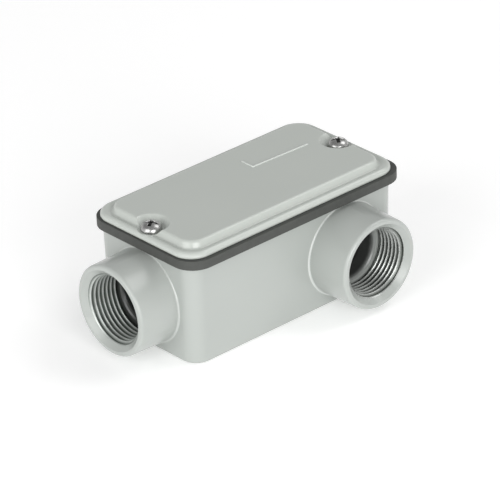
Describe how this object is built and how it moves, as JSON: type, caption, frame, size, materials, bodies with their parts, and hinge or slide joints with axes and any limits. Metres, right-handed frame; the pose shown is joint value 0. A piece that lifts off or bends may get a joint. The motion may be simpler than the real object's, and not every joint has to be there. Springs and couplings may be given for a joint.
{
  "type": "conduit body",
  "caption": "Cast box body with a threaded hub on one end and one on a side, closed by a gasketed, screwed-down cover.",
  "frame": {"origin": "middle of the casting's flat back, which bears on the wall or bench", "axes": "+X along the body away from the end hub, -Y out of the side hub, +Z out of the cover"},
  "size_m": [0.1164, 0.07, 0.0468],
  "materials": {
    "casting_paint": "light grey paint over die-cast aluminium, satin",
    "gasket_rubber": "matte",
    "cover_paint": "light grey paint over die-cast aluminium, satin",
    "screw_steel": "bright zinc plate"
  },
  "bodies": {
    "casting": {"body_casting": "casting_paint", "gasket": "gasket_rubber"},
    "cover": {"cover": "cover_paint"},
    "screw_left": {"cover_screw_left": "screw_steel"},
    "screw_right": {"cover_screw_right": "screw_steel"}
  },
  "joints": [
    {"name": "cover_lift", "type": "slide", "parent": "casting", "child": "cover", "axis": [0, 0, 1], "range_m": [0, 0.035]},
    {"name": "screw_left_turn", "type": "hinge", "parent": "cover", "child": "screw_left", "pos_m": [-0.0442, 0, 0.04365], "axis": [0, 0, 1], "continuous": true},
    {"name": "screw_right_turn", "type": "hinge", "parent": "cover", "child": "screw_right", "pos_m": [0.0442, 0, 0.04365], "axis": [0, 0, 1], "continuous": true}
  ]
}
